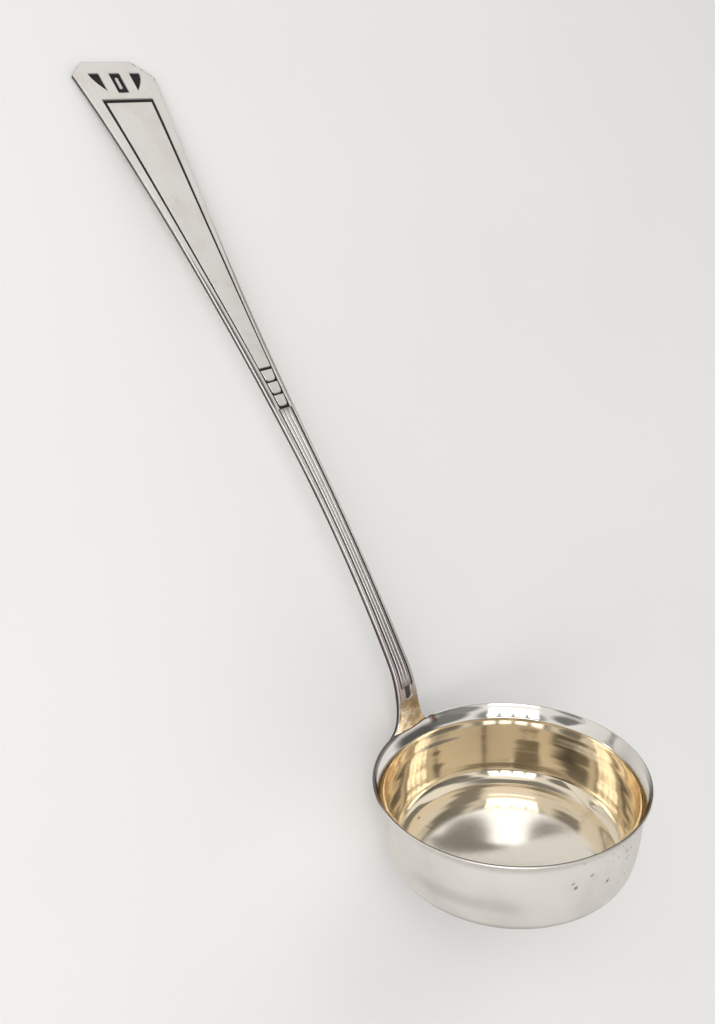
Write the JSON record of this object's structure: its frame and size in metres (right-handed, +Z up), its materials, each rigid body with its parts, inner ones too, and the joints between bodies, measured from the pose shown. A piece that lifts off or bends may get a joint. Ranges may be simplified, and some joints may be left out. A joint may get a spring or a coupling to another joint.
{
  "type": "soup ladle (bowl and soldered handle, no joints)",
  "caption": "A silver soup ladle lying at rest: a round flat-based bowl, gilt inside, with a flared lip, and a long handle with engraved lines that widens to a cut-cornered end.",
  "frame": {"origin": "the middle of the lying ladle's footprint, on the table", "axes": "+X runs along the ladle from the bowl to the handle's end, +Z is up from the table, +Y is to the left when looking along +X"},
  "size_m": [0.3309, 0.09, 0.0863],
  "materials": {
    "gilt_silver": "silver with a thin gilding inside, satin outside, lightly worn",
    "silver": "satin silver with blackened engraved lines"
  },
  "bodies": {
    "root": {"bowl": "gilt_silver", "handle": "silver"}
  },
  "joints": []
}
